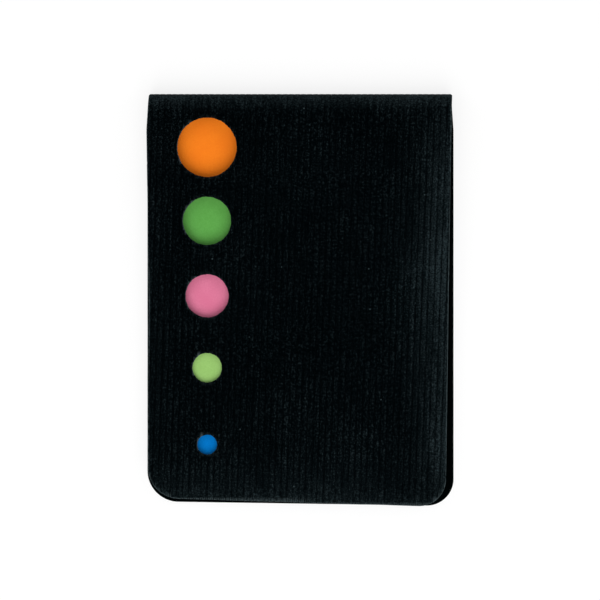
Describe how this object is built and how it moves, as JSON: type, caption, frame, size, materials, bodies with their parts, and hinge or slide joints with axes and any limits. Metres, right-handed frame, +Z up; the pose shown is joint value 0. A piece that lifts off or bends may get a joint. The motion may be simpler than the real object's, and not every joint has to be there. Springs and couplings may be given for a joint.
{
  "type": "sticky page markers in a folded card cover",
  "caption": "Small booklet of sticky page-marker pads in a ribbed black card cover that folds over its top edge, with round windows over the pads.",
  "frame": {"origin": "middle of the booklet's footprint, on the surface that it lies on", "axes": "+Z up, out of the front cover; +Y along the booklet's length, towards the fold; +X to the right, seen from the front cover with the fold at the top"},
  "size_m": [0.0608, 0.0816, 0.0062],
  "materials": {
    "cover_card": "matte, ribbed",
    "release_card": "satin",
    "orange_paper": "matte",
    "green_paper": "matte",
    "pink_paper": "matte",
    "lime_paper": "matte",
    "blue_paper": "matte"
  },
  "bodies": {
    "root": {"back_cover": "cover_card", "backing_card": "release_card", "pad_orange": "orange_paper", "pad_green": "green_paper", "pad_pink": "pink_paper", "pad_lime": "lime_paper", "pad_blue": "blue_paper"},
    "spine": {"cover_spine": "cover_card"},
    "front": {"front_cover": "cover_card"}
  },
  "joints": [
    {"name": "spine_fold", "type": "hinge", "parent": "root", "child": "spine", "pos_m": [0, 0.03994, 0.00091], "axis": [-1, 0, 0], "range_deg": [0, 90]},
    {"name": "front_fold", "type": "hinge", "parent": "spine", "child": "front", "pos_m": [0, 0.03994, 0.00529], "axis": [-1, 0, 0], "range_deg": [0, 90]}
  ]
}
